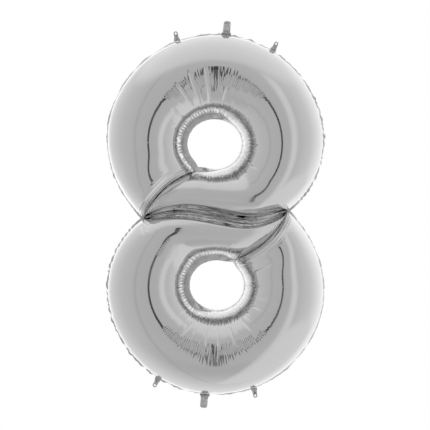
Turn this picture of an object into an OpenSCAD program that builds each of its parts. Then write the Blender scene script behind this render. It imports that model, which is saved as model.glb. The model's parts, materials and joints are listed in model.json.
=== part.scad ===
// Foil number balloon in the shape of a figure eight, blown up, with its hanging tabs and filling necks.
// X is across the figure, Z is up and -Y is the front. The origin is the centre of the figure.
// The figure looks the same after half a turn about Y, so its lower half is its upper half turned.

/* [Figure] */
// Height of the figure without its tabs and necks
figure_h = 1016; // [1000:1:1030]
// Radius of the outer edge of each ring
ring_r = 310; // [305:1:312]
// How far the upper ring's centre lies to the left of the centre line
ring_shift = 1; // [0:0.5:4]
// Distance of each waist notch from the centre line
waist_x = 209.6; // [205:0.1:215]
// How far the left waist notch lies below the centre, and the right one above it
waist_drop = 10.6; // [6:0.1:14]
// Thickness of the blown-up ring from its front crest to its back crest
ring_depth = 218; // [160:1:240]
// Height of the shallow groove between the rings, as a share of the crest
groove_share = 0.9; // [0.7:0.01:0.97]
// How far the groove swings above and below a straight line
groove_swing = 16; // [0:1:24]

/* [Holes] */
// Width of each hole
hole_w = 150; // [130:1:160]
// Height of each hole
hole_h = 138; // [120:1:150]
// How far the hole's corner stands out where the divider seam starts
hole_corner = 8; // [0:0.5:10]
// Direction of that corner from the hole's centre, in degrees
corner_angle = 234.5; // [228:0.5:240]
// How far the divider seam bows away from a straight line
divider_bow = 19.5; // [10:0.5:24]
// How far the film between a hole and the groove falls towards the divider, as a share of the crest
divider_fall = 0.35; // [0:0.05:0.4]

/* [Film and seams] */
// Thickness of each foil film
film_t = 0.25; // [0.2:0.01:0.4]
// Thickness of the sealed seam between the two films
seam_t = 0.5; // [0.4:0.01:0.8]
// Width of the sealed margin along every cut edge
margin_w = 5.6; // [4:0.1:7]
// Width of the two divider seams
divider_w = 5; // [3:0.5:6]

/* [Hanging tabs] */
// Width of a tab
tab_w = 12; // [10:0.5:14]
// Width of a tab at its root
tab_root_w = 17; // [14:0.5:20]
// Distance from the figure's edge to the centre of the eyelet
eye_out = 18; // [15:0.5:22]
// Diameter of the eyelet
eye_d = 5.6; // [3:0.1:7]
// Direction of the left tab of the upper ring, in degrees
left_tab_angle = 110.2; // [105:0.1:118]
// Direction of the right tab of the upper ring, in degrees
right_tab_angle = 58.3; // [50:0.1:65]
// Sideways lean of the left tab's eyelet
left_tab_lean = 3; // [-4:0.5:4]
// Sideways lean of the right tab's eyelet
right_tab_lean = -1.5; // [-4:0.5:4]

/* [Filling necks] */
// Direction of the upper ring's neck, in degrees
neck_angle = 84.2; // [82:0.1:88]
// Width of a neck
neck_w = 20; // [18:0.5:24]
// Width of a neck at its root
neck_root_w = 27; // [24:0.5:32]
// Length of a neck
neck_l = 35; // [30:1:40]
// Radius of a neck's two outer corners
neck_corner_r = 7; // [4:0.5:8]
// Sideways lean of the neck's end
neck_lean = -3.5; // [-4:0.5:4]
// Width of the seam along each side of a neck
neck_seam_w = 3; // [2:0.1:4]
// Thickness of each film of the valve sleeve
valve_film_t = 0.15; // [0.1:0.01:0.18]
// Length of the valve sleeve inside the figure
valve_l = 115; // [80:1:130]
// How far the valve sleeve stops short of the neck's end
valve_short = 9; // [5:1:14]
// Distance from the figure's edge to the fold line of a tab or neck
fold_out = 1; // [1:0.1:1.5]
// Distance from the fold line to the folding piece
fold_gap = 0.6; // [0.6:0.1:1]

/* [Mesh] */
// Rows of facets along the outer edge of each ring
edge_rows = 48; // [36:2:60]
// Rows of facets along the groove
groove_rows = 16; // [12:2:22]
// Facets from a hole's seam to the outer seam
dome_cells = 8; // [6:1:10]

/* [Hidden] */

centre = [-ring_shift, figure_h / 2 - ring_r];   // of the upper ring, in X and Z
hole_offset = [-2, -0.6];                        // of the hole from the ring's centre
hole_centre = centre + hole_offset;
rows = edge_rows + groove_rows;
crest = ring_depth / 2 - film_t - seam_t / 2;    // height of the dome above its margin
groove_phase = 1 - acos(groove_share) / 180;     // a dome row's half turn is cut off here at the groove
groove_taper = 0.5;      // how fast the groove deepens from the waists to the middle, less is faster
waist_pull = 1.4;        // how far a waist notch draws in for each step the edge is drawn in
left_taper_from = 160;   // direction where the edge starts to draw in towards the left waist
right_taper_from = 10;   // and towards the right waist
right_hole_angle = -41;  // direction of the hole's point on the row that ends at the right waist
divider_rows = 6;        // rows over which the dome rises on each side of a divider seam
bow_rows = 9;            // rows over which the divider's bow dies out
bow_fade = 1.5;          // how fast it dies out, more is faster
divider_points = 30;     // stretches in a divider seam's outline
share_step = 0.01;       // step along a row over which its direction is taken
corner_spread = 18;      // half the width of the hole's corner, in degrees
wall_limit = 3;          // steepest wall that gets its full film thickness
least_run = 0.1;         // shortest run that a wall's steepness is measured over
root_flare = 5;          // height of the widened root of a tab or neck
round_facets = 64;       // facets of an eyelet and of a rounded corner
neck_gap_h = 6 * margin_w;                       // cut through the outer seam where a neck opens
neck_gap_side = 0.5;                             // clearance on each side of the valve in that cut
tab_t = seam_t + 2 * film_t;
fold_from = fold_out + fold_gap;                 // where a folding piece starts
valve_w = neck_w - 2 * neck_seam_w;
leaf_y = seam_t / 2 + film_t / 2;
valve_film_y = seam_t / 2 - valve_film_t / 2;

function direction(a) = [cos(a), sin(a)];
function unit(v) = v / norm(v);
function clamp(x) = max(0, min(1, x));
function ease(x) = let (c = clamp(x)) c * c * (3 - 2 * c);

// A notch of the waist, as seen from the upper ring: side is -1 on the left and 1 on the right.
function notch(side, inset) = side * [waist_x - waist_pull * inset, waist_drop];
function notch_angle(side, inset) =
    let (d = notch(side, inset) - centre) side < 0 ? atan2(d[1], d[0]) + 360 : atan2(d[1], d[0]);
function notch_r(side, inset) = norm(notch(side, inset) - centre);

// Radius of the upper ring's edge in direction a, drawn in by inset.
function edge_r(a, inset) =
    let (
        r = ring_r - inset,
        left = ease((a - left_taper_from) / (notch_angle(-1, inset) - left_taper_from)),
        right = clamp((right_taper_from - a) / (right_taper_from - notch_angle(1, inset)))
    )
    r - left * (r - notch_r(-1, inset)) - right * right * (r - notch_r(1, inset));

// The point a share p of the way round the edge, from the left waist over the top to the right waist.
function edge_point(p, inset) =
    let (a = notch_angle(-1, inset) + p * (notch_angle(1, inset) - notch_angle(-1, inset)))
    centre + edge_r(a, inset) * direction(a);

// The point of the groove at s, which runs from -1 at the left waist to 1 at the right one.
function groove_point(s) =
    [(waist_x - waist_pull * margin_w) * s, waist_drop * s - groove_swing * sin(180 * s)];
function groove_end(s) = 1 - (1 - groove_phase) * pow(max(0, 1 - s * s), groove_taper);
function groove_rise(s) = crest * sin(180 * groove_end(s));

// The upper hole's edge in direction a, widened by inset.
function hole_point(a, inset) =
    let (
        oval = 1 / norm([cos(a) / (hole_w / 2), sin(a) / (hole_h / 2)]),
        off = min(abs(a - corner_angle), abs(a + 360 - corner_angle)),
        corner = hole_corner * pow(clamp(1 - off / corner_spread), 2)
    )
    hole_centre + (oval + corner + inset) * direction(a);

// Row i runs from the hole to the edge, or to the groove. Row 0 is the divider seam.
function groove_at(i) = i == 0 ? -1 : 1 - 2 * (i - edge_rows) / groove_rows;
function hole_angle(i) = i <= edge_rows
    ? corner_angle + i / edge_rows * (right_hole_angle - corner_angle)
    : right_hole_angle + (i - edge_rows) / groove_rows * (corner_angle - 360 - right_hole_angle);
function row_start(i) = hole_point(hole_angle(i), margin_w);
function row_end(i) = i <= edge_rows ? edge_point(i / edge_rows, margin_w) : groove_point(groove_at(i));
function rows_from_divider(i) = min(i, rows - i);
function row_phase(i) = i <= edge_rows ? 1 : groove_end(groove_at(i));
function row_bow(i) = divider_bow * pow(clamp(1 - rows_from_divider(i) / bow_rows), bow_fade);
function row_swell(i) = sqrt(1 - pow(1 - clamp(rows_from_divider(i) / divider_rows), 2));

// The point of row i a share v along it, in X and Z.
function row_point(i, v) =
    let (a = row_start(i), b = row_end(i), d = unit(b - a))
    a + (b - a) * v + row_bow(i) * 4 * v * (1 - v) * [d[1], -d[0]];
function column_share(i, t) =
    (1 - cos(180 * t * row_phase(i))) / (1 - cos(180 * row_phase(i)));
function row_fall(i, t) =
    divider_fall * pow(max(0, (i - edge_rows) / groove_rows), 3) * (1 - pow(t, 4));
function row_rise(i, t) =
    let (swell = row_swell(i), end_rise = i > edge_rows ? groove_rise(groove_at(i)) : 0)
    (1 - row_fall(i, t)) * swell * crest * sin(180 * t * row_phase(i)) + (1 - swell) * end_rise * t * t;

// The panel as a grid. Column 0 is the hole's cut edge and column 1 its seam.
// The last column is the outer seam or the groove.
last = dome_cells + 1;
plan = [for (i = [0:rows - 1]) [for (j = [0:last])
    j == 0 ? hole_point(hole_angle(i), 0) : row_point(i, column_share(i, (j - 1) / dome_cells))]];
rise = [for (i = [0:rows - 1]) [for (j = [0:last]) j == 0 ? 0 : row_rise(i, (j - 1) / dome_cells)]];

function slope(i, j, i2, j2, i3, j3) =
    abs(rise[i2][j2] - rise[i3][j3]) / max(least_run, norm(plan[i2][j2] - plan[i3][j3]));
function steepness(i, j) = j < 2 || j == last ? 0 : min(wall_limit, norm([
    slope(i, j, i, j + 1, i, j - 1),
    slope(i, j, (i + 1) % rows, j, (i + rows - 1) % rows, j)]));
// The film's thickness along Y grows with the steepness of the wall.
function inner_rise(i, j) =
    max(0, rise[i][j] - film_t * (norm([1, steepness(i, j)]) - 1));
function inner_plan(i, j) =
    let (along = unit(row_end(i) - row_start(i)))
    j == 1 && i > 0 ? plan[i][j] + film_t * along
    : j == last && i > 0 && i < edge_rows ? plan[i][j] - film_t * along
    : plan[i][j];

function turned(p, ring) = ring == 0 ? p : -p;
function outer_skin() = [
    for (ring = [0, 1]) for (i = [0:rows - 1]) for (j = [0:last])
        let (p = turned(plan[i][j], ring)) [p[0], -seam_t / 2 - film_t - rise[i][j], p[1]],
    for (ring = [0, 1]) for (i = [0:edge_rows - 1])
        let (p = turned(edge_point(i / edge_rows, 0), ring)) [p[0], -seam_t / 2 - film_t, p[1]]
];
function inner_skin() = [
    for (ring = [0, 1]) for (i = [0:rows - 1]) for (j = [0:last])
        let (p = turned(inner_plan(i, j), ring)) [p[0], -seam_t / 2 - inner_rise(i, j), p[1]],
    for (ring = [0, 1]) for (i = [0:edge_rows - 1])
        let (p = turned(edge_point(i / edge_rows, 0), ring)) [p[0], -seam_t / 2, p[1]]
];

// Numbers of the grid's points. The lower ring shares the upper ring's points along the groove.
skin_points = 2 * rows * (last + 1) + 2 * edge_rows;
function grid_id(skin, ring, i, j) =
    let (r = i % rows)
    ring == 1 && j == last && r == 0 ? grid_id(skin, 0, edge_rows, j)
    : ring == 1 && j == last && r >= edge_rows ? grid_id(skin, 0, rows + edge_rows - r, j)
    : skin * skin_points + (ring * rows + r) * (last + 1) + j;
function rim_id(skin, ring, i) = i == edge_rows
    ? rim_id(skin, 1 - ring, 0)
    : skin * skin_points + 2 * rows * (last + 1) + ring * edge_rows + i;
function two_triangles(a, b, c, d) = [[a, b, c], [a, c, d]];
function skin_faces(skin) = [
    for (ring = [0, 1]) for (i = [0:rows - 1]) for (j = [0:last - 1]) each two_triangles(
        grid_id(skin, ring, i, j), grid_id(skin, ring, i, j + 1),
        grid_id(skin, ring, i + 1, j + 1), grid_id(skin, ring, i + 1, j)),
    for (ring = [0, 1]) for (i = [0:edge_rows - 1]) each two_triangles(
        grid_id(skin, ring, i, last), rim_id(skin, ring, i),
        rim_id(skin, ring, i + 1), grid_id(skin, ring, i + 1, last))
];
function wall_faces() = [
    for (ring = [0, 1]) for (i = [0:rows - 1]) each two_triangles(
        grid_id(0, ring, i, 0), grid_id(0, ring, i + 1, 0),
        grid_id(1, ring, i + 1, 0), grid_id(1, ring, i, 0)),
    for (ring = [0, 1]) for (i = [0:edge_rows - 1]) each two_triangles(
        rim_id(0, ring, i + 1), rim_id(0, ring, i), rim_id(1, ring, i), rim_id(1, ring, i + 1))
];
function reversed(faces) = [for (f = faces) [f[2], f[1], f[0]]];

// Flat outlines, drawn in X and Z.
function edge_outline(inset) = [for (ring = [0, 1]) for (i = [0:edge_rows - 1])
    turned(edge_point(i / edge_rows, inset), ring)];
function hole_outline(inset) = [for (i = [0:rows - 1]) hole_point(hole_angle(i), inset)];

// Stands a flat outline up in the XZ plane, t thick, with its middle at y.
module sheet(t, y = 0)
    translate([0, y, 0]) rotate([90, 0, 0]) linear_extrude(height = t, center = true) children();
module lower_half(lower = true)
    rotate([0, lower ? 180 : 0, 0]) children();
// Puts a piece on the upper ring's edge in direction a, with its Z outwards and its X clockwise.
module on_edge(a) {
    p = centre + edge_r(a, 0) * direction(a);
    translate([p[0], 0, p[1]]) rotate([0, 90 - a, 0]) children();
}

module film_panel()
    polyhedron(
        points = concat(outer_skin(), inner_skin()),
        faces = concat(skin_faces(0), reversed(skin_faces(1)), wall_faces()),
        convexity = 12);

// The two foil films
module front_panel() color("silver") film_panel();
module back_panel() color("silver") mirror([0, 1, 0]) film_panel();

// The sealed margins that join the films
module neck_gap()
    on_edge(neck_angle) sheet(3 * seam_t) square([valve_w + 2 * neck_gap_side, neck_gap_h], center = true);
module outer_seam() color("darkgray") difference() {
    sheet(seam_t) difference() {
        polygon(edge_outline(0));
        polygon(edge_outline(margin_w));
    }
    for (lower = [false, true]) lower_half(lower) neck_gap();
}
module hole_seam() color("darkgray") sheet(seam_t) difference() {
    polygon(hole_outline(margin_w));
    polygon(hole_outline(0));
}
module upper_hole_seam() hole_seam();
module lower_hole_seam() lower_half() hole_seam();

function divider_side(side) = [for (k = [1:divider_points - 1])
    let (v = k / divider_points, d = unit(row_point(0, v + share_step) - row_point(0, v - share_step)))
    row_point(0, v) + side * divider_w / 2 * [d[1], -d[0]]];
function backwards(list) = [for (k = [len(list) - 1:-1:0]) list[k]];
module divider_seam() color("dimgray")
    sheet(seam_t) polygon(concat(divider_side(1), backwards(divider_side(-1))));
module upper_divider_seam() divider_seam();
module lower_divider_seam() lower_half() divider_seam();

// Hanging tabs: both films sealed together, with an eyelet, folding where they meet the figure
module hanging_tab(a, lean) color("gainsboro") on_edge(a) sheet(tab_t) difference() {
    union() {
        polygon([
            [-tab_root_w / 2, fold_from], [tab_root_w / 2, fold_from],
            [tab_w / 2 + lean * root_flare / eye_out, fold_from + root_flare],
            [tab_w / 2 + lean, eye_out], [-tab_w / 2 + lean, eye_out],
            [-tab_w / 2 + lean * root_flare / eye_out, fold_from + root_flare]]);
        translate([lean, eye_out]) circle(d = tab_w, $fn = round_facets);
    }
    translate([lean, eye_out]) circle(d = eye_d, $fn = round_facets);
}
module top_left_tab() hanging_tab(left_tab_angle, left_tab_lean);
module top_right_tab() hanging_tab(right_tab_angle, right_tab_lean);
module bottom_right_tab() lower_half() hanging_tab(left_tab_angle, left_tab_lean);
module bottom_left_tab() lower_half() hanging_tab(right_tab_angle, right_tab_lean);

// Filling necks: two leaves of foil sealed along their sides, open at the end
module neck_outline() {
    straight_l = neck_l - neck_corner_r;
    polygon([
        [-neck_root_w / 2, fold_from], [neck_root_w / 2, fold_from],
        [neck_w / 2 + neck_lean * root_flare / neck_l, fold_from + root_flare],
        [neck_w / 2 + neck_lean, straight_l], [-neck_w / 2 + neck_lean, straight_l],
        [-neck_w / 2 + neck_lean * root_flare / neck_l, fold_from + root_flare]]);
    for (side = [-1, 1]) translate([neck_lean + side * (neck_w / 2 - neck_corner_r), straight_l])
        circle(r = neck_corner_r, $fn = round_facets);
    translate([neck_lean - neck_w / 2 + neck_corner_r, straight_l])
        square([neck_w - 2 * neck_corner_r, neck_corner_r]);
}
// The passage between a neck's side seams, which leans with the neck
module neck_channel(from, to) polygon([for (k = [0, 1, 3, 2])
    let (v = k < 2 ? from : to)
    [(k % 2 == 0 ? -1 : 1) * valve_w / 2 + neck_lean * max(0, v) / neck_l, v]]);
module neck_leaf(side) on_edge(neck_angle) sheet(film_t, side * leaf_y) neck_outline();
module neck_side_seams() on_edge(neck_angle) sheet(seam_t) difference() {
    neck_outline();
    neck_channel(0, neck_l + 1);
}
module valve_mouth(side)
    on_edge(neck_angle) sheet(valve_film_t, side * valve_film_y)
        neck_channel(fold_from, neck_l - valve_short);
module top_neck_front_leaf() color("silver") neck_leaf(-1);
module top_neck_back_leaf() color("silver") neck_leaf(1);
module top_neck_side_seams() color("darkgray") neck_side_seams();
module top_valve_mouth_front() color("whitesmoke") valve_mouth(-1);
module top_valve_mouth_back() color("whitesmoke") valve_mouth(1);
module bottom_neck_front_leaf() color("silver") lower_half() neck_leaf(-1);
module bottom_neck_back_leaf() color("silver") lower_half() neck_leaf(1);
module bottom_neck_side_seams() color("darkgray") lower_half() neck_side_seams();
module bottom_valve_mouth_front() color("whitesmoke") lower_half() valve_mouth(-1);
module bottom_valve_mouth_back() color("whitesmoke") lower_half() valve_mouth(1);

// The self-sealing valve sleeve inside the figure: two thin films, sealed along their sides
module valve_film(side)
    on_edge(neck_angle) sheet(valve_film_t, side * valve_film_y)
        translate([-valve_w / 2, -valve_l]) square([valve_w, valve_l]);
module valve_side_seams() on_edge(neck_angle)
    sheet(seam_t - 2 * valve_film_t) for (side = [-1, 1])
        translate([side * (valve_w - neck_seam_w) / 2, -valve_l / 2])
            square([neck_seam_w, valve_l], center = true);
module top_valve_front_film() color("whitesmoke") valve_film(-1);
module top_valve_back_film() color("whitesmoke") valve_film(1);
module top_valve_side_seams() color("lightgray") valve_side_seams();
module bottom_valve_front_film() color("whitesmoke") lower_half() valve_film(-1);
module bottom_valve_back_film() color("whitesmoke") lower_half() valve_film(1);
module bottom_valve_side_seams() color("lightgray") lower_half() valve_side_seams();

front_panel();
back_panel();
outer_seam();
upper_hole_seam();
lower_hole_seam();
upper_divider_seam();
lower_divider_seam();
top_valve_front_film();
top_valve_back_film();
top_valve_side_seams();
bottom_valve_front_film();
bottom_valve_back_film();
bottom_valve_side_seams();
top_left_tab();
top_right_tab();
bottom_left_tab();
bottom_right_tab();
top_neck_front_leaf();
top_neck_back_leaf();
top_neck_side_seams();
top_valve_mouth_front();
top_valve_mouth_back();
bottom_neck_front_leaf();
bottom_neck_back_leaf();
bottom_neck_side_seams();
bottom_valve_mouth_front();
bottom_valve_mouth_back();
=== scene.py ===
import json
import math

import bpy
import numpy as np
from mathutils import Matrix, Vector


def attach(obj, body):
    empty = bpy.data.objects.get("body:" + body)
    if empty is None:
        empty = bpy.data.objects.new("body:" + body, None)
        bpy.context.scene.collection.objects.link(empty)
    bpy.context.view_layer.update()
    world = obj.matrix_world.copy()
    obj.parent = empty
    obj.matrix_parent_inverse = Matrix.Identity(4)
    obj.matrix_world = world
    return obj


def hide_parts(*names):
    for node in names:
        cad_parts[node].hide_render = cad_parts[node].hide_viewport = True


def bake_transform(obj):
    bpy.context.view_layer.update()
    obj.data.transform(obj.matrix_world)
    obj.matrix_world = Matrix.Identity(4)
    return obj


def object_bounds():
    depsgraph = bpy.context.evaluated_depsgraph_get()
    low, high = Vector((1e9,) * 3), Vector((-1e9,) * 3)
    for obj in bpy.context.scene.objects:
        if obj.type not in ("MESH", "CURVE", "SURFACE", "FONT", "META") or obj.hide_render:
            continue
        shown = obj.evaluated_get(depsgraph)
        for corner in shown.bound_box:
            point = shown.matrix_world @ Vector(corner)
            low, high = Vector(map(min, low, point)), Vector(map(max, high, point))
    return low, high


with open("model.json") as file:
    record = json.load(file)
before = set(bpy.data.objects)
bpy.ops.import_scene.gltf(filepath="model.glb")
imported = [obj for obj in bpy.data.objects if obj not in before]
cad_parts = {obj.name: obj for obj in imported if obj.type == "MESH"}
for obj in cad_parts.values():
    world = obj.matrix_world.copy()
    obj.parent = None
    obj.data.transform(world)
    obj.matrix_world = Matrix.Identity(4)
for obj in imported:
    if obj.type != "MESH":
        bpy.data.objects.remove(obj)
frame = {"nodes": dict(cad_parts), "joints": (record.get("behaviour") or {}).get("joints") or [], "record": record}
cad_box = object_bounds()
bpy.ops.object.select_all(action="DESELECT")

# ---------------------------------------------------------------- the figure, in metres
CREST = 0.1085                        # how far each film domes out from the seam plane
RING_R = 0.310                        # outer cut edge of each ring
RING_CENTRE = np.array([-0.001, 0.198])
HOLE_CENTRE = np.array([-0.003, 0.1974])
HOLE_HALF = np.array([0.075, 0.069])
HOLE_CORNER = 0.008
CORNER_ANGLE = 234.5
CORNER_SPREAD = 18.0
WAIST = np.array([0.2096, 0.0106])    # right end of the waist groove
WAIST_PULL = 1.4
MARGIN = 0.0056                       # sealed margin along the outer cut edge
HOLE_MARGIN = 0.0150                  # sealed margin round each hole
FOLDED_MARGIN = 0.0042                # as seen where it is turned back
FOLDED_AT = {1.0: 343.0, -1.0: 150.0}   # middle of that side of the upper and the lower hole
SEAM_GAP = 0.0003                     # half the gap between the films where they are sealed
STRIP_HALF = 0.00022                  # half the thickness of a sealed strip
GROOVE_SWING = 0.016
GROOVE_PHASE = 0.856                  # a dome row's half turn stops here at the groove
DIVIDER_BOW = 0.0195
EDGE_CREST_R = 0.1868                 # the crest's radius along the outer edge
LEFT_CREST_RISE = 0.0217              # and how much more it is by the left waist
CREST_SHARE = (0.0, 0.07, 0.14, 0.30, 0.50, 0.70, 0.85, 1.0)   # shares of the groove, from the right
CREST_R = (EDGE_CREST_R, 0.186, 0.182, 0.164, 0.144, 0.148, 0.168, 0.190)
EDGE_CREST_UV = 0.187                 # the radius at which the film's texture runs true to size
RIGHT_HOLE_ANGLE = -41.0
ROW_RUN = 0.34                        # film from hole to edge, near enough
GATHER_COUNT = 74                     # lobes along one ring's outer seam
GATHER_SEED = 104                     # the same for the films and the seam strip, so that they meet

EDGE_ROWS = 540
GROOVE_ROWS = 150
DOME_COLUMNS = 66


def ease(x):
    x = np.clip(x, 0.0, 1.0)
    return x * x * (3.0 - 2.0 * x)


def ramp(x, start, end):
    return ease((x - start) / (end - start))


def direction(angle):
    angle = np.radians(angle)
    return np.stack([np.cos(angle), np.sin(angle)], axis=-1)


def notch_polar(side, inset):
    x, z = side * (WAIST - [WAIST_PULL * inset, 0.0]) - RING_CENTRE
    angle = math.degrees(math.atan2(z, x))
    return (angle + 360.0 if side < 0 else angle), math.hypot(x, z)


def edge_point(p, inset):
    """Points of a ring's outer edge, from the left waist over the top to the right waist."""
    left_angle, left_r = notch_polar(-1, inset)
    right_angle, right_r = notch_polar(1, inset)
    angle = left_angle + p * (right_angle - left_angle)
    r = RING_R - inset
    left = ease((angle - 160.0) / (left_angle - 160.0))
    right = np.clip((10.0 - angle) / (10.0 - right_angle), 0.0, 1.0) ** 2
    radius = r - left * (r - left_r) - right * (r - right_r)
    return RING_CENTRE + radius[..., None] * direction(angle)


def hole_point(angle, inset):
    d = direction(angle)
    oval = 1.0 / np.linalg.norm(d / HOLE_HALF, axis=-1)
    off = np.abs((angle - CORNER_ANGLE + 180.0) % 360.0 - 180.0)
    corner = HOLE_CORNER * np.clip(1.0 - off / CORNER_SPREAD, 0.0, 1.0) ** 2
    return HOLE_CENTRE + (oval + corner + inset)[..., None] * d


def groove_point(s):
    x = (WAIST[0] - WAIST_PULL * MARGIN) * s
    return np.stack([x, WAIST[1] * s - GROOVE_SWING * np.sin(np.pi * s)], axis=-1)


def crowded(count, ends):
    """count + 1 numbers from 0 to 1 that crowd towards the ends that are asked for."""
    t = np.linspace(0.0, 1.0, 4001)
    density = 1.0 + sum(2.6 * np.exp(-np.abs(t - e) / 0.05) for e in ends)
    total = np.concatenate([[0.0], np.cumsum((density[1:] + density[:-1]) / 2.0)])
    return np.interp(np.linspace(0.0, total[-1], count + 1), total, t)


def soft_noise(x, y, seed):
    """Value noise from -1 to 1 with cells of 1 by 1, the same on every run."""
    table = np.random.default_rng(seed).uniform(-1.0, 1.0, (64, 64))
    xi, yi = np.floor(x).astype(int), np.floor(y).astype(int)
    fx, fy = ease(x - xi), ease(y - yi)
    low = table[xi % 64, yi % 64] * (1 - fx) + table[(xi + 1) % 64, yi % 64] * fx
    high = table[xi % 64, (yi + 1) % 64] * (1 - fx) + table[(xi + 1) % 64, (yi + 1) % 64] * fx
    return low * (1 - fy) + high * fy


def gathers(x, count, seed, jitter=0.33):
    """Lobes along x from 0 to 1: 0 at each fold, 1 between folds, with uneven widths and heights."""
    rng = np.random.default_rng(seed)
    folds = (np.arange(count + 1) + rng.uniform(-jitter, jitter, count + 1)) / count
    folds[0], folds[-1] = 0.0, 1.0
    phase = np.interp(x, folds, np.arange(count + 1))
    height = rng.uniform(0.3, 1.0, count + 2)[np.floor(phase).astype(int)]
    return np.abs(np.sin(np.pi * phase)) * height


def steps_along(points, axis):
    """Distance walked over a grid of points along one axis, from its first line."""
    step = np.linalg.norm(np.diff(points, axis=axis), axis=-1)
    pad = [(0, 0), (0, 0)]
    pad[axis] = (1, 0)
    return np.pad(np.cumsum(step, axis=axis), pad)


def rolling_mean(values, reach):
    """values averaged over reach rows on both sides, three times over; the rows go round and meet."""
    for _ in range(3):
        values = sum(np.roll(values, k, axis=0) for k in range(-reach, reach + 1)) / (2 * reach + 1)
    return values


def hole_margin(angle, folded_at):
    """How wide the sealed margin looks from the front: it is turned back on one side of each hole."""
    off = np.abs((angle - folded_at + 180.0) % 360.0 - 180.0)
    return HOLE_MARGIN - (HOLE_MARGIN - FOLDED_MARGIN) * (1.0 - ramp(off, 62.0, 112.0))


# ---------------------------------------------------------------- one ring of film
def ring_plan(folded_at):
    """The rows and columns of one ring's film as laid out from the hole to the edge and the groove."""
    p = crowded(EDGE_ROWS, [0.0, 1.0])
    s = 1.0 - 2.0 * crowded(GROOVE_ROWS, [0.0, 1.0])[1:-1]
    n_edge = len(p)
    q = (1.0 - s) / 2.0
    angle = np.concatenate([
        CORNER_ANGLE + p * (RIGHT_HOLE_ANGLE - CORNER_ANGLE),
        RIGHT_HOLE_ANGLE + q * (CORNER_ANGLE - 360.0 - RIGHT_HOLE_ANGLE),
    ])
    margin = hole_margin(angle, folded_at)
    start = hole_point(angle, margin)
    end = np.concatenate([edge_point(p, MARGIN), groove_point(s)])
    groove_s = np.concatenate([np.ones(n_edge), s])
    open_groove = np.clip(1.0 - groove_s**2, 0.0, 1.0)

    middle = (start + end) / 2.0
    step = np.linalg.norm(np.roll(middle, -1, axis=0) - middle, axis=1)
    before = np.concatenate([[0.0], np.cumsum(step)[:-1]])
    from_divider = np.minimum(before, before[-1] + step[-1] - before)
    bow = DIVIDER_BOW * np.clip(1.0 - from_divider / 0.15, 0.0, 1.0) ** 1.5

    opening = ease(open_groove**0.55)
    turn = 1.0 - (1.0 - GROOVE_PHASE) * opening
    turn[:n_edge] = 1.0
    u = np.linspace(0.0, 1.0, DOME_COLUMNS + 1)[None, :]
    crowd = 1.0 + 0.7 * opening[:, None]
    t = 1.0 - (1.0 - u) ** crowd
    soft = 0.27 * opening[:, None]
    tau = (np.sqrt((1.0 - t) ** 2 + soft**2) - soft) / (np.sqrt(1.0 + soft**2) - soft)
    te = 1.0 - tau
    e = turn[:, None]
    steep_start = (-0.15 + 0.75 * (margin - FOLDED_MARGIN) / (HOLE_MARGIN - FOLDED_MARGIN))[:, None]

    def laid_out(t):
        v = (1.0 - np.cos(np.pi * t * e)) / (1.0 - np.cos(np.pi * e))
        return v - steep_start * v * (1.0 - v) ** 4

    # slide each row's points along so that its crest comes at the radius it has on the blown-up figure
    edge_crest = EDGE_CREST_R + LEFT_CREST_RISE * (1.0 - ramp(p, 0.05, 0.155))
    crest_r = np.concatenate([edge_crest, np.interp(q, CREST_SHARE, CREST_R)])
    crest_tau = (1.0 - 0.5 / e) * (np.sqrt(1.0 + soft**2) - soft) + soft
    crest_v = laid_out(1.0 - np.sqrt(crest_tau**2 - soft**2))
    wanted = (crest_r - np.linalg.norm(start - RING_CENTRE, axis=1)) / np.linalg.norm(end - start, axis=1)
    v = laid_out(t)
    v = v + np.clip((wanted[:, None] - crest_v) / (crest_v * (1.0 - crest_v)), -0.5, 0.8) * v * (1.0 - v)

    along = end - start
    unit = along / np.linalg.norm(along, axis=1, keepdims=True)
    side = np.stack([unit[:, 1], -unit[:, 0]], axis=1)
    plan = start[:, None] + along[:, None] * v[..., None]
    plan = plan + (bow[:, None] * 4.0 * v * (1.0 - v))[..., None] * side[:, None]

    closed = np.concatenate([plan, plan[:1]], axis=0)
    walked = steps_along(closed, 0)
    divider = np.minimum(walked[:-1], walked[-1:] - walked[:-1])
    close = np.clip(divider / 0.036, 0.0, 1.0)
    swell = 0.62 * ramp(divider, 0.0, 0.0016) + 0.38 * (1.0 - (1.0 - close) ** 2.2) ** (1.0 / 2.2)
    groove_rise = (CREST * np.sin(np.pi * turn) * (open_groove > 0))[:, None]
    rise = swell * CREST * np.sin(np.pi * te * e) + (1.0 - swell) * groove_rise * te**2
    rise = np.maximum(rise, 0.0)
    past_line = np.clip((q - 0.09) / 0.91, 0.0, 1.0)
    fall = np.concatenate([np.zeros(n_edge), 0.175 * past_line**1.04 + 0.23 * q**3])[:, None]
    rise = rise * (1.0 - fall * (1.0 - te**4))

    # ease the turn where the rows stop following the edge and start to follow the groove
    row = np.arange(len(angle))[:, None] - n_edge
    share = np.exp(-((row / 60.0) ** 2)) * np.sin(np.pi * np.clip(t, 0.0, 1.0)) ** 0.6
    plan = plan + share[..., None] * (rolling_mean(plan, 26) - plan)
    peak = rise.max(axis=1, keepdims=True)
    rise = rise + share * (rolling_mean(rise, 26) - rise)
    rise = rise * rolling_mean(peak / np.maximum(rise.max(axis=1, keepdims=True), 1e-9), 16)

    # that easing drew the crest inwards: put it back at its radius
    off = plan - RING_CENTRE
    r = np.linalg.norm(off, axis=-1)
    near_crest = (rise / np.maximum(rise.max(axis=1, keepdims=True), 1e-9)) ** 300 + 1e-9
    near_crest /= near_crest.sum(axis=1, keepdims=True)
    short = crest_r - (r * near_crest).sum(axis=1)
    short = rolling_mean(short, 6)[:, None] * np.exp(-((row / 100.0) ** 2))
    arch = np.sin(np.pi * np.clip(t, 0.0, 1.0))
    arch = arch / np.maximum((arch * near_crest).sum(axis=1, keepdims=True), 0.3)
    plan = plan + (short * arch / r)[..., None] * off

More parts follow.
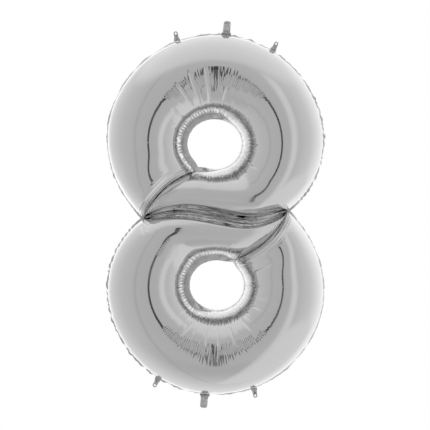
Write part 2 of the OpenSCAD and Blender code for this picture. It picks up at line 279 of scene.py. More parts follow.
    off = plan - RING_CENTRE
    return {
        "p": p, "n_edge": n_edge, "plan": plan, "rise": rise, "t": t, "divider": divider,
        "r": np.linalg.norm(off, axis=-1), "a": np.degrees(np.arctan2(off[..., 1], off[..., 0])),
    }


RINGS = {turned: ring_plan(folded_at) for turned, folded_at in FOLDED_AT.items()}


def crease(ring, at, inner, outer, depth, width=0.0019, lean=0.0):
    """A crisp pleat that points at the hole, from the radius inner to the radius outer."""
    share = np.clip((ring["r"] - inner) / (outer - inner), 0.0, 1.0)
    off = (ring["a"] - at - lean * share + 180.0) % 360.0 - 180.0
    across = np.abs(np.radians(off)) * ring["r"]
    window = ramp(ring["r"], inner - 0.006, inner + 0.006)
    window = window * (1.0 - ramp(ring["r"], outer - 0.016, outer + 0.004))
    strength = 1.7 if outer < 0.140 else 2.6
    return -strength * depth * window * np.exp(-(across / width) ** 1.2)


def film_wrinkles(ring, creases, seed):
    """How far the film stands off its smooth dome, outwards."""
    a, r = ring["a"], ring["r"]
    clear = ramp(ring["divider"], 0.008, 0.035)
    on_edge = (np.arange(len(r)) < ring["n_edge"])[:, None]
    edge_share = np.concatenate([ring["p"], np.ones(len(r) - ring["n_edge"])])
    edge_share = np.broadcast_to(edge_share[:, None], r.shape)
    ends = ramp(edge_share, 0.0, 0.03) * (1.0 - ramp(edge_share, 0.96, 1.0)) * on_edge
    d = np.zeros_like(r)

    # pleats that the tight hole seam pulls into the film
    for at, inner, outer, depth, lean in creases:
        d += crease(ring, at, inner, outer, depth, lean=lean) * clear

    # shallow tucks between the pleats, and fine ripples on the crest where the film bunches most
    tucks = np.abs(np.sin(np.radians(a) * 19.0 + 1.5 * soft_noise(a / 25.0, r * 8.0, seed + 1)))
    bunched = np.exp(-np.abs((a - 92.0) / 50.0) ** 4.0)
    d -= 0.0005 * bunched * (1.0 - tucks) ** 2 * ramp(r, 0.10, 0.12) * (1.0 - ramp(r, 0.16, 0.21))
    wander = 0.9 * soft_noise(a / 9.0, r * 25.0, seed + 2)
    ripple = np.sin(np.radians(a) * 128.0 + 2.5 * wander)
    ripple = ripple * (0.55 + 0.45 * soft_noise(a / 6.0, r * 18.0, seed + 3))
    d += 0.00009 * bunched * ripple * ramp(r, 0.135, 0.16) * (1.0 - ramp(r, 0.205, 0.235))

    # gathers that run in from the outer seam
    lobes = gathers(edge_share, GATHER_COUNT, GATHER_SEED, 0.42)
    reach = 0.75 + 0.25 * soft_noise(edge_share * 60.0, 0.0 * r, seed + 5)
    seam_near = np.exp(-((1.0 - ring["t"]) * ROW_RUN / (0.016 * reach)))
    rough = edge_roughness(edge_share)
    d += (lobes - 0.55) * 0.0034 * rough * seam_near * ends * ramp(1.0 - ring["t"], 0.0, 0.02)

    # small tucks that stand round the hole seam
    small = gathers((a % 360.0) / 360.0, 58, seed + 6, 0.45)
    hole_near = np.exp(-(ring["t"] * ROW_RUN / 0.013))
    d += (small - 0.6) * 0.0052 * hole_near * clear * ramp(ring["t"], 0.0, 0.03)

    # tight lines along both shoulders of the divider
    far = ring["divider"]
    row = ring["t"]
    lines = np.sin(far * 2 * np.pi / 0.0068 + 2.2 * soft_noise(row * 4.0, far * 60.0, seed + 7))
    fine_wander = 3.0 * soft_noise(row * 7.0, far * 50.0, seed + 8)
    lines = lines + 0.6 * np.sin(far * 2 * np.pi / 0.0041 + fine_wander)
    shoulder = ramp(far, 0.003, 0.010) * (1.0 - ramp(far, 0.018, 0.042))
    shoulder = shoulder * np.sin(np.pi * np.clip(row, 0, 1)) ** 0.5
    d += 0.00055 * lines * shoulder * (0.6 + 0.4 * soft_noise(row * 6.0, far * 90.0, seed + 9))

    # slow unevenness of blown-up film
    x, z = ring["plan"][..., 0], ring["plan"][..., 1]
    d += 0.0005 * soft_noise(x * 9.0, z * 9.0, seed + 10) * clear * np.sin(np.pi * row)

    # crumples where the film is pinched at both waists
    for side in (-1.0, 1.0):
        away = np.hypot(x - side * WAIST[0], z - side * WAIST[1])
        pinch = np.exp(-((away / 0.034) ** 2))
        crumple = soft_noise(x * 95.0 + 7.0, z * 120.0, seed + 11)
        crumple = crumple + 0.5 * soft_noise(x * 210.0, z * 230.0, seed + 12)
        d += 0.0013 * pinch * crumple * np.sin(np.pi * row) ** 0.5
    return d


def groove_folds(ring, turned, seed):
    """Long folds that run along the waist groove, cross it on a slant and close up at both of its ends."""
    x, z = turned * ring["plan"][..., 0], turned * ring["plan"][..., 1]
    s = np.clip(x / (WAIST[0] - WAIST_PULL * MARGIN), -1.0, 1.0)
    w = z - (WAIST[1] * s - GROOVE_SWING * np.sin(np.pi * s))
    opening = np.sqrt(1.0 - s**2)
    half = 0.002 + 0.0185 * opening
    c = (w + (0.004 + 0.0045 * ramp(s, 0.1, 0.6)) * opening) / half
    rng = np.random.default_rng(seed)
    d = np.zeros_like(w)
    for k in range(18):
        broad = k % 2 == 0
        lane = -1.0 + 2.0 * (k + rng.uniform(-0.35, 0.35)) / 17.0
        slant = rng.uniform(0.15, 0.55)
        bend = rng.uniform(-0.14, 0.14)
        middle, reach = rng.uniform(-0.35, 0.35), rng.uniform(0.55, 0.95)
        depth = rng.uniform(0.0060, 0.0135) if broad else rng.uniform(0.0020, 0.0060)
        width = rng.uniform(0.0024, 0.0040) if broad else rng.uniform(0.0010, 0.0016)
        waver = 0.035 * soft_noise(s * 5.0 + 20.0, 0.0 * s, seed + k)
        line = lane - slant * s + bend * np.sin(np.pi * s) + waver
        fade = np.exp(-np.abs((s - middle) / reach) ** 4.0) * (1.0 - ramp(np.abs(s), 0.80, 0.96))
        d -= depth * fade * np.exp(-((np.abs(c - line) * half / width) ** 1.3))
    sunk = 1.0 - ramp(np.abs(c), 0.80, 1.05)
    lip = np.exp(-(((np.abs(c) - 1.25) / 0.22) ** 2))
    window = 1.0 - ramp(np.abs(c), 0.95, 1.15)
    return window * d - 0.0064 * opening * sunk + 0.0012 * opening * lip


UPPER_CREASES = [
    (141, 0.092, 0.150, 0.0008, 0.0), (160, 0.094, 0.128, 0.0008, 0.0), (121, 0.118, 0.196, 0.0009, 2.5),
    (111, 0.112, 0.212, 0.0012, -1.0), (97, 0.116, 0.212, 0.0012, 0.5), (79, 0.116, 0.160, 0.0010, -1.0),
    (66, 0.112, 0.135, 0.0006, 0.0), (46, 0.102, 0.130, 0.0008, 0.0), (35, 0.106, 0.126, 0.0008, 2.0),
    (29, 0.146, 0.158, 0.0006, 0.0), (19, 0.118, 0.148, 0.0007, 0.0), (-3, 0.086, 0.122, 0.0010, 0.0),
    (-10, 0.110, 0.130, 0.0006, 0.0), (-16, 0.088, 0.110, 0.0009, 0.0), (-27, 0.084, 0.110, 0.0010, 0.0),
    (-32, 0.110, 0.138, 0.0009, 0.0), (-44, 0.100, 0.125, 0.0006, 0.0), (-57, 0.098, 0.120, 0.0009, 0.0),
    (-73, 0.098, 0.108, 0.0007, 0.0), (178, 0.092, 0.112, 0.0006, 0.0), (196, 0.094, 0.116, 0.0005, 0.0),
]
LOWER_CREASES = [
    (-52, 0.114, 0.172, 0.0010, 1.0), (-71, 0.120, 0.176, 0.0011, -1.0), (-87, 0.120, 0.168, 0.0010, 0.0),
    (-100, 0.120, 0.170, 0.0010, 0.5), (-123, 0.122, 0.166, 0.0009, -1.5),
    (-143, 0.112, 0.130, 0.0007, 0.0),
    (-168, 0.104, 0.120, 0.0007, 0.0), (0, 0.092, 0.122, 0.0010, 0.0), (-15, 0.118, 0.152, 0.0007, 0.0),
    (-28, 0.110, 0.146, 0.0008, 0.0), (-40, 0.104, 0.124, 0.0007, 0.0), (22, 0.112, 0.172, 0.0009, 0.0),
    (33, 0.100, 0.124, 0.0008, 0.0), (46, 0.098, 0.130, 0.0008, 2.0), (67, 0.098, 0.116, 0.0007, 0.0),
    (150, 0.094, 0.116, 0.0006, 0.0), (165, 0.094, 0.122, 0.0006, 0.0), (-158, 0.100, 0.118, 0.0006, 0.0),
]
LOWER_TURNED = [(at + 180, *rest) for at, *rest in LOWER_CREASES]


def edge_roughness(p):
    """The seam puckers on the right of the upper ring and the left of the lower one, less elsewhere."""
    return 0.35 + 0.65 * ramp(p, 0.42, 0.62)


def seam_wave(ring):
    """How far the outer seam dips in and swings front to back, row by row, and the hole seam's swing."""
    lobes = gathers(ring["p"], GATHER_COUNT, GATHER_SEED, 0.42)
    ends = ramp(ring["p"], 0.0, 0.03) * (1.0 - ramp(ring["p"], 0.96, 1.0))
    dip = 0.0042 * (0.75 - lobes) * ends * edge_roughness(ring["p"])
    swing = 0.0018 * soft_noise(ring["p"] * 46.0, 0.0 * ring["p"], 31) * ends
    return dip, swing


def ring_film(turned, side, creases, seed):
    """One ring's film as a grid of points. side is -1 for the front film and 1 for the back film."""
    ring = RINGS[turned]
    plan, rise = ring["plan"], ring["rise"]
    points = np.stack([plan[..., 0] * turned, side * (SEAM_GAP + rise), plan[..., 1] * turned], axis=-1)
    along = np.gradient(points, axis=1)
    around = np.roll(points, -1, axis=0) - np.roll(points, 1, axis=0)
    normal = np.cross(along, around)
    normal /= np.linalg.norm(normal, axis=-1, keepdims=True) + 1e-12
    facing = np.sign((normal[..., 1] * side).sum())
    normal *= facing
    d = film_wrinkles(ring, creases, seed)
    points = points + normal * d[..., None]
    points[..., 1] += side * groove_folds(ring, turned, 60 if side < 0 else 80)

    dip, swing = seam_wave(ring)
    n = ring["n_edge"]
    near = np.exp(-((1.0 - ring["t"][:n]) * ROW_RUN / 0.016))
    inward = -(edge_point(ring["p"], MARGIN) - RING_CENTRE)
    inward /= np.linalg.norm(inward, axis=1, keepdims=True)
    points[:n, :, 0] += turned * inward[:, :1] * dip[:, None] * near
    points[:n, :, 2] += turned * inward[:, 1:] * dip[:, None] * near
    points[:n, :, 1] += swing[:, None] * near
    return points


def add_piece(name, points, quads, uvs, weld=0.000005):
    """A new mesh object with smooth shading, welded where points meet, its normals outwards."""
    mesh = bpy.data.meshes.new(name)
    mesh.from_pydata(np.asarray(points).tolist(), [], quads)
    mesh.update()
    layer = mesh.uv_layers.new(name="film")
    loops = np.zeros(len(mesh.loops), np.int32)
    mesh.loops.foreach_get("vertex_index", loops)
    layer.data.foreach_set("uv", uvs[loops].astype(np.float32).ravel())
    piece = bpy.data.objects.new(name, mesh)
    bpy.context.scene.collection.objects.link(piece)
    bpy.ops.object.select_all(action="DESELECT")
    bpy.context.view_layer.objects.active = piece
    piece.select_set(True)
    bpy.ops.object.mode_set(mode="EDIT")
    bpy.ops.mesh.select_all(action="SELECT")
    bpy.ops.mesh.remove_doubles(threshold=weld)
    bpy.ops.mesh.normals_make_consistent(inside=False)
    bpy.ops.object.mode_set(mode="OBJECT")
    bpy.ops.object.shade_smooth()
    return piece


def film_mesh(name, side, seeds):
    verts, quads, uvs = [], [], []
    base = 0
    for turned, creases, seed in ((1.0, UPPER_CREASES, seeds[0]), (-1.0, LOWER_TURNED, seeds[1])):
        points = ring_film(turned, side, creases, seed)
        rows, columns = points.shape[:2]
        ids = base + np.arange(rows * columns).reshape(rows, columns)
        nxt = np.roll(ids, -1, axis=0)
        verts.append(points.reshape(-1, 3))
        quads.append(np.stack([ids[:, :-1], nxt[:, :-1], nxt[:, 1:], ids[:, 1:]], axis=-1).reshape(-1, 4))
        ring = RINGS[turned]
        uv = np.stack([np.radians(ring["a"]) * EDGE_CREST_UV, ring["r"] + (turned < 0)], axis=-1)
        uvs.append(uv.reshape(-1, 2))
        base += rows * columns
    quads = np.concatenate(quads).tolist()
    piece = add_piece(name, np.concatenate(verts), quads, np.concatenate(uvs), weld=0.00002)
    polygons = piece.data.polygons
    if polygons[len(polygons) // 4].normal[1] * side < 0:
        piece.data.flip_normals()
    return piece


# ---------------------------------------------------------------- small film pieces
def strip_solid(front, back, closed):
    """Points and faces of a thin strip from its front and back grids of rows by columns."""
    loop = np.concatenate([front, back[:, ::-1]], axis=1)
    rows, across = loop.shape[:2]
    ids = np.arange(rows * across).reshape(rows, across)
    nxt = np.roll(ids, -1, axis=1)
    last = rows if closed else rows - 1
    a, b = ids[:last], np.roll(ids, -1, axis=0)[:last]
    c, d = np.roll(nxt, -1, axis=0)[:last], nxt[:last]
    quads = np.stack([a, b, c, d], axis=-1).reshape(-1, 4).tolist()
    if not closed:
        quads += [ids[0].tolist(), ids[-1][::-1].tolist()]
    return loop.reshape(-1, 3), quads


def both_faces(uv):
    """Texture coordinates of a thin strip: its back face repeats its front face."""
    return np.concatenate([uv, uv[:, ::-1]], axis=1).reshape(-1, 2)


def outer_seam_strip():
    """The sealed outer margin of both rings, scalloped and ruffled like the film it closes."""
    points, quads, uvs = [], [], []
    p = RINGS[1.0]["p"]
    dip, swing = seam_wave(RINGS[1.0])
    ruffle = 0.0010 * soft_noise(p * 120.0, 0.0 * p, 33)
    ends = ramp(p, 0.0, 0.03) * (1.0 - ramp(p, 0.96, 1.0))
    for turned in (1.0, -1.0):
        front, back, uv = [], [], []
        rough = edge_roughness(p)
        unrest = soft_noise(p * 88.0, 0.0 * p, 35 + int(turned))
        lean = np.radians(60.0 - 26.0 * rough + (10.0 + 26.0 * rough) * unrest) * ends
        for f in (-0.12, 0.0, 0.34, 0.67, 1.0):
            reach = MARGIN * max(f, 0.0)
            flat = edge_point(p, MARGIN * (1.0 - f))
            inward = RING_CENTRE - flat
            inward /= np.linalg.norm(inward, axis=1, keepdims=True)
            flat = flat + inward * (dip + reach * (1.0 - np.cos(lean)))[:, None]
            y = swing + ruffle * max(f, 0.0) + reach * np.sin(lean)
            for grid, side in ((front, -1.0), (back, 1.0)):
                skin = y + side * STRIP_HALF
                grid.append(np.stack([turned * flat[:, 0], skin, turned * flat[:, 1]], axis=-1))
            uv.append(np.stack([p * 1.3, np.full_like(p, f * MARGIN)], axis=-1))
        mesh_points, faces = strip_solid(np.stack(front, 1), np.stack(back, 1), False)
        base = sum(len(part) for part in points)
        quads += [[base + i for i in face] for face in faces]
        points.append(mesh_points)
        uvs.append(both_faces(np.stack(uv, 1)))
    return add_piece("outer_seam_strip", np.concatenate(points), quads, np.concatenate(uvs))


def hole_seam_strip(name, turned, seed):
    """The sealed margin round one hole, which leans back where it is seen narrower than it is."""
    angle = np.linspace(0.0, 360.0, 361)[:-1]
    small = gathers(angle / 360.0, 40, seed, 0.4)
    wave = 0.0013 * soft_noise(angle / 7.5, 0.0 * angle, seed + 1)
    wave *= ramp(np.abs((angle - CORNER_ANGLE + 180.0) % 360.0 - 180.0), 0.0, 10.0)
    front, back, uv = [], [], []
    margin = hole_margin(angle, FOLDED_AT[turned])
    lean = np.arccos(np.clip(margin / HOLE_MARGIN, 0.0, 1.0))
    for f in (-0.08, 0.0, 0.25, 0.5, 0.75, 1.0):
        reach = HOLE_MARGIN * max(f, 0.0)
        flat = hole_point(angle, margin * (1.0 - f) + 0.0007 * (1.0 - small) * max(f, 0.0))
        for grid, side in ((front, -1.0), (back, 1.0)):
            y = wave * max(f, 0.0) * 1.6 + reach * np.sin(lean) + side * STRIP_HALF
            grid.append(np.stack([turned * flat[:, 0], y, turned * flat[:, 1]], axis=-1))
        uv.append(np.stack([np.radians(angle) * 0.075, np.full_like(angle, f * HOLE_MARGIN)], axis=-1))
    points, quads = strip_solid(np.stack(front, 1), np.stack(back, 1), True)
    return add_piece(name, points, quads, both_faces(np.stack(uv, 1)))


def root_frame(joint, outward_to=None):
    """Fold point, outward and sideways directions of a tab or neck, all in the seam plane."""
    fold = np.array(joint["pos_m"])
    side = np.array(joint["axis"])
    out = np.cross(side, [0.0, 1.0, 0.0])
    if np.dot(out, fold) < 0:
        out = -out
    if outward_to is not None:
        out = np.array(outward_to) - (fold - 0.001 * out)
    out = out / np.linalg.norm(out)
    return fold, out, np.cross([0.0, 1.0, 0.0], out)


def tab_piece(name, joint, eyelet, seed):
    """A flat foil tab with a punched eyelet and a flared root, slightly cupped and creased."""
    fold, out, side = root_frame(joint, eyelet)
    reach = 0.0180
    root = np.array(eyelet) - out * reach
    angle = np.linspace(0.0, 2 * np.pi, 73)[:-1]
    rings = []
    for share in (0.0, 0.12, 0.3, 0.5, 0.7, 0.88, 1.0):
        ring = []
        for turn in angle:
            away = np.array([math.cos(turn), math.sin(turn)])
            low, high = 0.0028, 0.0300
            for _ in range(24):
                mid = (low + high) / 2
                along, across = reach + away[0] * mid, abs(away[1] * mid)
                if along > reach:
                    inside = math.hypot(along - reach, across) < 0.0060
                else:
                    flare = 0.0060 + 0.0028 * math.exp(-max(along, 0.0) / 0.0035)
                    inside = across < flare and along > -0.0035
                low, high = (mid, high) if inside else (low, mid)
            ring.append(away * (0.0028 + share * (low - 0.0028)))
        rings.append(ring)
    flat = np.array(rings)
    along, across = reach + flat[..., 0], flat[..., 1]
    cup = -0.0007 * (across / 0.006) ** 2 + 0.0005 * soft_noise(along * 260.0, across * 210.0, seed)
    cup = cup + 0.0006 * np.sin(along * 210.0 + seed)
    cup = cup * ramp(along, -0.001, 0.004)
    lip = np.array([0.00042, 0.00034, 0.0002, 0.0002, 0.0002, 0.0002, 0.00018])[:, None]
    grids = []
    for face in (-1.0, 1.0):
        place = root + along[..., None] * out + across[..., None] * side
        place = place + (cup + face * lip)[..., None] * np.array([0.0, 1.0, 0.0])
        grids.append(place)
    front = np.moveaxis(grids[0], 0, 1)
    back = np.moveaxis(grids[1], 0, 1)
    points, quads = strip_solid(front, back, True)
    uv = np.stack([along, across], axis=-1)
    return add_piece(name, points, quads, both_faces(np.moveaxis(uv, 0, 1)))


def neck_sheet(name, joint, face, seed):
    """One crinkled leaf of a filling neck, from inside the seam to its rounded open end."""
    fold, out, side = root_frame(joint)
    root = fold - 0.001 * out
    rows, columns = 64, 36
    x = np.linspace(-0.0045, 0.0350, rows)[:, None]
    c = np.linspace(-1.0, 1.0, columns)[None, :]
    half = 0.0100 + 0.0035 * np.exp(-np.clip(x, 0, 1) / 0.0030)
    near_end = np.clip((x - 0.0280) / 0.0070, 0.0, 1.0)
    half = half - 0.0070 * (1.0 - np.sqrt(1.0 - near_end**2 + 1e-9))
    across = c * half
    along = x + 0.0 * c
    puff = 0.0016 * np.clip(1.0 - (np.abs(across) / 0.0078) ** 2, 0.0, 1.0) * ramp(x, 0.001, 0.012)
    crinkle = np.abs(np.sin(380.0 * across + 4.0 * soft_noise(along * 90.0, across * 160.0, seed)))
    crinkle = 0.0007 * (crinkle - 0.6) + 0.0022 * soft_noise(along * 150.0, across * 170.0, seed + 1)
    root_pinch = 0.0018 * np.exp(-(((along - 0.0035) / 0.0026) ** 2))
    tip = 0.0020 * np.exp(-(((along - 0.0285) - 0.45 * np.abs(across)) / 0.0011) ** 2)
    inner = (1.0 - np.clip(np.abs(c) - 0.82, 0.0, 1.0) / 0.18) * ramp(x, 0.0, 0.004)
    y = puff + 0.0012 * ramp(x, 0.0, 0.003) + (1.5 * crinkle - tip - root_pinch) * inner
    y = face * (0.00018 + np.maximum(y, 0.0))
    ruck = 0.0009 * soft_noise(along * 120.0, across * 60.0, 77) * ramp(x, 0.002, 0.010)
    wall = face * 0.00012
    grids = []
    for skin in (wall, 0.0):
        place = root + along[..., None] * out + across[..., None] * side
        grids.append(place + (y + ruck + skin)[..., None] * np.array([0.0, 1.0, 0.0]))
    points, quads = strip_solid(grids[0], grids[1], False)
    return add_piece(name, points, quads, both_faces(np.stack([along, across], axis=-1)))


# ---------------------------------------------------------------- finishes
def calc(tree, operation, a, b=None):
    node = tree.nodes.new("ShaderNodeMath")
    node.operation = operation
    for socket, value in zip(node.inputs, (a, b)):
        if isinstance(value, (int, float)):
            socket.default_value = value
        elif value is not None:
            tree.links.new(value, socket)
    return node.outputs[0]


def band(tree, value, start, end, low=0.0, high=1.0):
    node = tree.nodes.new("ShaderNodeMapRange")
    node.interpolation_type = "SMOOTHSTEP"
    for key, number in (("From Min", start), ("From Max", end), ("To Min", low), ("To Max", high)):
        node.inputs[key].default_value = number
    tree.links.new(value, node.inputs["Value"])
    return node.outputs[0]


def tones(tree, value, stops):
    """A grey ramp over value from -1 to 1; stops are pairs of value and tone."""
    node = tree.nodes.new("ShaderNodeValToRGB")
    shifted = calc(tree, "MULTIPLY_ADD", value, 0.5)
    shifted.node.inputs[2].default_value = 0.5
    tree.links.new(shifted, node.inputs[0])
    elements = node.color_ramp.elements
    while len(elements) < len(stops):
        elements.new(0.5)
    for element, (at, tone) in zip(elements, sorted(stops)):
        element.position = at * 0.5 + 0.5
        element.color = (tone, tone, tone, 1)
    return node.outputs[0]


def blend_tones(tree, share, a, b):
    node = tree.nodes.new("ShaderNodeMix")
    node.data_type = "RGBA"
    tree.links.new(share, node.inputs[0])
    for socket, value in ((node.inputs[6], a), (node.inputs[7], b)):
        if isinstance(value, (int, float)):
            socket.default_value = (value, value, value, 1)
        else:
            tree.links.new(value, socket)
    return node.outputs[2]


def bump_from(tree, height, strength, distance, under=None):
    node = tree.nodes.new("ShaderNodeBump")
    node.inputs["Strength"].default_value = strength
    node.inputs["Distance"].default_value = distance
    tree.links.new(height, node.inputs["Height"])
    if under is not None:
        tree.links.new(under, node.inputs["Normal"])
    return node.outputs["Normal"]


def noise_on(tree, vector, scale, detail=2.0, rough=0.5, distortion=0.0):
    node = tree.nodes.new("ShaderNodeTexNoise")
    node.inputs["Scale"].default_value = scale
    node.inputs["Detail"].default_value = detail
    node.inputs["Roughness"].default_value = rough
    node.inputs["Distortion"].default_value = distortion
    tree.links.new(vector, node.inputs["Vector"])
    return node.outputs["Fac"]


def foil_finish(name, tone, roughness, crinkle):
    """Bright metallised film: a neutral mirror with a faint haze and the finest crinkles."""
    material = bpy.data.materials.new(name)
    material.use_nodes = True
    tree = material.node_tree
    shader = tree.nodes["Principled BSDF"]
    shader.inputs["Metallic"].default_value = 1.0
    coord = tree.nodes.new("ShaderNodeTexCoord")
    haze = noise_on(tree, coord.outputs["Object"], 7.0, 4.0, 0.6)
    tree.links.new(band(tree, haze, 0.3, 0.7, roughness * 0.7, roughness * 1.5), shader.inputs["Roughness"])
    shade = tree.nodes.new("ShaderNodeMapRange")
    tree.links.new(noise_on(tree, coord.outputs["Object"], 23.0, 3.0, 0.55), shade.inputs["Value"])
    shade.inputs["To Min"].default_value = tone - 0.015
    shade.inputs["To Max"].default_value = tone + 0.015
    tree.links.new(shade.outputs[0], shader.inputs["Base Color"])
    fine = noise_on(tree, coord.outputs["Object"], 190.0, 2.0, 0.5, 0.6)
    normal = bump_from(tree, fine, 0.5 * crinkle, 0.0001)
    slow = noise_on(tree, coord.outputs["Object"], 34.0, 2.0, 0.45, 0.4)
    normal = bump_from(tree, slow, 0.35 * crinkle, 0.0003, normal)
    tree.links.new(normal, shader.inputs["Normal"])
    return material


def film_finish():
    """The open film: the foil finish with fine ripples across the crest and crinkles round each hole."""
    material = foil_finish("silver_foil", 0.75, 0.075, 0.30)
    tree = material.node_tree
    shader = tree.nodes["Principled BSDF"]
    uv = tree.nodes.new("ShaderNodeUVMap")
    uv.uv_map = "film"
    split = tree.nodes.new("ShaderNodeSeparateXYZ")
    tree.links.new(uv.outputs[0], split.inputs[0])
    around = split.outputs["X"]
    r = calc(tree, "FRACT", split.outputs["Y"])
    wander = noise_on(tree, uv.outputs[0], 26.0, 2.0, 0.5)
    patches = noise_on(tree, uv.outputs[0], 19.0, 1.0, 0.5)

    def ripples(spacing, sway):
        phase = calc(tree, "ADD", calc(tree, "MULTIPLY", around, 2 * math.pi / spacing),
                     calc(tree, "MULTIPLY", wander, sway))
        return calc(tree, "SINE", phase)

    off_top = calc(tree, "ABSOLUTE", calc(tree, "SUBTRACT", around, math.radians(88.0) * EDGE_CREST_UV))
    crest = calc(tree, "MULTIPLY", band(tree, r, 0.150, 0.166), band(tree, r, 0.194, 0.183, 0.20, 1.0))
    crest = calc(tree, "MULTIPLY", crest, band(tree, off_top, 0.172, 0.150))
    crest = calc(tree, "MULTIPLY", crest, band(tree, patches, 0.30, 0.46))
    off_hatch = calc(tree, "ABSOLUTE", calc(tree, "SUBTRACT", around, math.radians(-37.0) * EDGE_CREST_UV))
    hatch = calc(tree, "MULTIPLY", band(tree, off_hatch, 0.034, 0.026), band(tree, r, 0.140, 0.152))
    hatch = calc(tree, "MULTIPLY", hatch, band(tree, r, 0.190, 0.180))
    hatch = calc(tree, "MULTIPLY", hatch, calc(tree, "GREATER_THAN", split.outputs["Y"], 1.0))
    comb = calc(tree, "MULTIPLY", ripples(0.0062, 5.0), calc(tree, "MAXIMUM", crest, hatch))
    collar = calc(tree, "MULTIPLY", band(tree, r, 0.068, 0.074), band(tree, r, 0.116, 0.100))
    crinkles = calc(tree, "ADD", ripples(0.0125, 16.0), ripples(0.0071, 23.0))
    crinkles = calc(tree, "MULTIPLY", crinkles, collar)
    old = shader.inputs["Normal"].links[0].from_socket
    normal = bump_from(tree, comb, 1.0, 0.00009, old)
    normal = bump_from(tree, crinkles, 1.0, 0.00055, normal)
    tree.links.new(normal, shader.inputs["Normal"])
    return material


def seam_finish():
    """Film sealed to film: duller than the open film, with the sealing bar's fine crimp."""
    material = foil_finish("sealed_margin", 0.66, 0.17, 1.0)
    tree = material.node_tree
    shader = tree.nodes["Principled BSDF"]
    uv = tree.nodes.new("ShaderNodeUVMap")
    uv.uv_map = "film"
    split = tree.nodes.new("ShaderNodeSeparateXYZ")
    tree.links.new(uv.outputs[0], split.inputs[0])
    crimp = calc(tree, "SINE", calc(tree, "MULTIPLY", split.outputs["X"], 2 * math.pi / 0.0024))
    old = shader.inputs["Normal"].links[0].from_socket
    tree.links.new(bump_from(tree, crimp, 0.5, 0.00012, old), shader.inputs["Normal"])
    return material


def valve_finish():
    """Thin milky film of the self-closing valve."""
    material = bpy.data.materials.new("valve_film")
    material.use_nodes = True
    tree = material.node_tree
    shader = tree.nodes["Principled BSDF"]
    coord = tree.nodes.new("ShaderNodeTexCoord")
    cloud = noise_on(tree, coord.outputs["Object"], 60.0, 3.0, 0.5)
    shade = tree.nodes.new("ShaderNodeMapRange")
    tree.links.new(cloud, shade.inputs["Value"])
    shade.inputs["To Min"].default_value = 0.62
    shade.inputs["To Max"].default_value = 0.78
    tree.links.new(shade.outputs[0], shader.inputs["Base Color"])
    shader.inputs["Roughness"].default_value = 0.45
    tree.links.new(bump_from(tree, cloud, 0.3, 0.0003), shader.inputs["Normal"])
    return material


# ---------------------------------------------------------------- assembly
FOIL = film_finish()
TAB_FOIL = foil_finish("tab_foil", 0.60, 0.11, 2.0)
NECK_FOIL = foil_finish("neck_foil", 0.62, 0.12, 2.4)
SEAM = seam_finish()
# the divider's foil gets a much darker base tone (0.30) than the open film: painted shade for the deep waist
# groove it lies in
DIVIDER_PAINTED_SHADE_FOIL = foil_finish("pressed_foil", 0.30, 0.16, 1.0)
VALVE = valve_finish()


def fit(piece, material, nodes, body=None):
    piece.data.materials.append(material)
    if body is not None:
        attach(piece, body)
    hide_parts(*nodes)


fit(film_mesh("front_film", -1, (200, 300)), FOIL, ["front_panel"], "envelope")
fit(film_mesh("back_film", 1, (400, 500)), FOIL, ["back_panel"], "envelope")
fit(outer_seam_strip(), SEAM, ["outer_seam"], "envelope")
fit(hole_seam_strip("upper_hole_strip", 1.0, 71), SEAM, ["upper_hole_seam"], "envelope")
fit(hole_seam_strip("lower_hole_strip", -1.0, 73), SEAM, ["lower_hole_seam"], "envelope")

joints = {joint["name"]: joint for joint in frame["joints"]}
mounts = {mount["name"]: mount for mount in frame["record"]["mounts"]}
for number, corner in enumerate(("top_left", "top_right", "bottom_right", "bottom_left")):
    joint = joints[corner + "_tab_fold"]
    tab = tab_piece(corner + "_foil_tab", joint, mounts[corner + "_eyelet"]["pos_m"], 11 + number)
    fit(tab, TAB_FOIL, [corner + "_tab"])
    fold, out, side = root_frame(joint)
    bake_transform(tab)
for number, end in enumerate(("top", "bottom")):
    joint = joints[end + "_neck_fold"]
    fold, out, side = root_frame(joint)
    for word, face in (("front", -1.0), ("back", 1.0)):
        leaf = neck_sheet(f"{end}_neck_{word}_sheet", joint, face, 21 + 5 * number + int(face))
        nodes = [f"{end}_neck_{word}_leaf"] + ([f"{end}_neck_side_seams"] if face < 0 else [])
        fit(leaf, NECK_FOIL, nodes)
        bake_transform(leaf)
for name, node in frame["nodes"].items():
    # divider nodes get the darker foil whose tone is painted groove shade; valve nodes get the milky valve film
    finish = VALVE if "valve" in name else DIVIDER_PAINTED_SHADE_FOIL if "divider" in name else None
    if finish:
        node.data.materials.clear()
        node.data.materials.append(finish)


# ---------------------------------------------------------------- studio
def add_floor():
    bpy.ops.mesh.primitive_plane_add(size=12.0, location=(0, 0, cad_box[0][2] - 0.02))
    floor = bpy.context.active_object
    floor.name = "floor"
    floor.visible_glossy = False
    paint = bpy.data.materials.new("pale_floor")
    paint.use_nodes = True
    nodes, links = paint.node_tree.nodes, paint.node_tree.links
    glow = nodes.new("ShaderNodeEmission")
    glow.inputs["Color"].default_value = (1.0, 1.0, 1.0, 1)
    links.new(glow.outputs[0], nodes["Material Output"].inputs[0])
    floor.data.materials.append(paint)


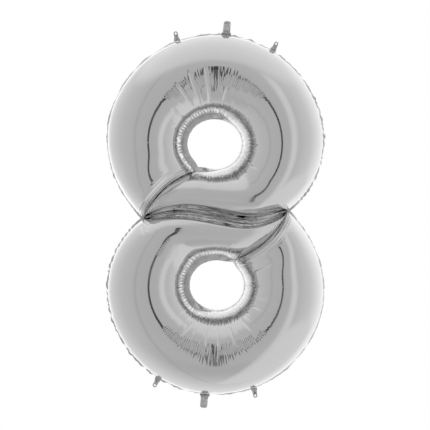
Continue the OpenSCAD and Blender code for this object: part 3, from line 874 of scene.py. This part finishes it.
def add_studio_light():
    """A soft room for the foil to mirror: walls, ceiling, ground, a window and a dark stand."""
    world = bpy.data.worlds.new("studio")
    bpy.context.scene.world = world
    world.use_nodes = True
    tree = world.node_tree
    coord = tree.nodes.new("ShaderNodeTexCoord")
    split = tree.nodes.new("ShaderNodeSeparateXYZ")
    tree.links.new(coord.outputs["Generated"], split.inputs[0])
    x, y, z = split.outputs
    walls = tones(tree, y, [
        (-1.0, 0.53), (-0.75, 0.56), (-0.14, 0.63), (0.25, 0.72), (0.6, 0.82), (0.76, 0.98), (0.9, 1.2),
    ])
    ceiling = tones(tree, y, [(-1.0, 0.60), (-0.75, 0.68), (-0.5, 0.74), (0.0, 0.82), (0.7, 0.98)])
    ground = tones(tree, y, [(-1.0, 0.49), (-0.77, 0.47), (-0.47, 0.54), (0.1, 0.73), (0.65, 0.90)])
    behind_right = tones(tree, y, [
        (-1.0, 0.53), (-0.75, 0.57), (-0.44, 0.65), (-0.14, 0.71), (0.25, 0.88), (0.8, 1.1),
    ])
    walls = blend_tones(tree, band(tree, x, 0.05, 0.35), walls, behind_right)
    room = blend_tones(tree, band(tree, z, 0.56, 0.74), walls, ceiling)
    room = blend_tones(tree, band(tree, calc(tree, "MULTIPLY", z, -1.0), 0.45, 0.85), room, ground)
    azimuth = calc(tree, "ARCTAN2", x, calc(tree, "MULTIPLY", y, -1.0))
    tall_window = calc(tree, "ABSOLUTE", calc(tree, "SUBTRACT", azimuth, 0.60))
    under_ceiling = band(tree, z, 0.66, 0.50)
    window_share = calc(tree, "MULTIPLY", band(tree, tall_window, 0.23, 0.04, 0.0, 0.8), under_ceiling)
    room = blend_tones(tree, window_share, room, 0.78)
    low_right = calc(tree, "MULTIPLY", band(tree, azimuth, 0.62, 0.74), band(tree, azimuth, 2.3, 1.9))
    low_right = calc(tree, "MULTIPLY", low_right, band(tree, z, -0.32, -0.46, 0.0, 0.85))
    room = blend_tones(tree, low_right, room, 0.79)
    corner = calc(tree, "ABSOLUTE", calc(tree, "ADD", azimuth, 0.63))
    corner_share = calc(tree, "MULTIPLY", band(tree, corner, 0.13, 0.0, 0.0, 0.5), under_ceiling)
    room = blend_tones(tree, corner_share, room, 0.44)
    stand = band(tree, calc(tree, "ABSOLUTE", azimuth), 0.046, 0.034)
    tall = calc(tree, "MULTIPLY", band(tree, z, 0.44, 0.41), band(tree, z, -0.66, -0.52))
    stand = calc(tree, "MULTIPLY", stand, tall)
    stand_tone = tones(tree, z, [
        (-1.0, 0.22), (-0.12, 0.18), (-0.04, 0.07), (0.05, 0.07), (0.12, 0.12), (0.26, 0.10), (0.31, 0.05),
    ])
    room = blend_tones(tree, stand, room, stand_tone)
    path = tree.nodes.new("ShaderNodeLightPath")
    seen = blend_tones(tree, path.outputs["Is Camera Ray"], room, 1.0)
    tree.links.new(seen, tree.nodes["Background"].inputs["Color"])


def add_camera():
    bpy.ops.object.camera_add(location=(-0.0014, -6.0, -0.0014), rotation=(math.pi / 2, 0, 0))
    camera = bpy.context.active_object
    camera.data.lens = 36.0 * 6.0 / 1.204
    camera.data.clip_end = 50.0
    bpy.context.scene.camera = camera


add_floor()
add_studio_light()
add_camera()
bpy.context.scene.view_settings.view_transform = "Standard"
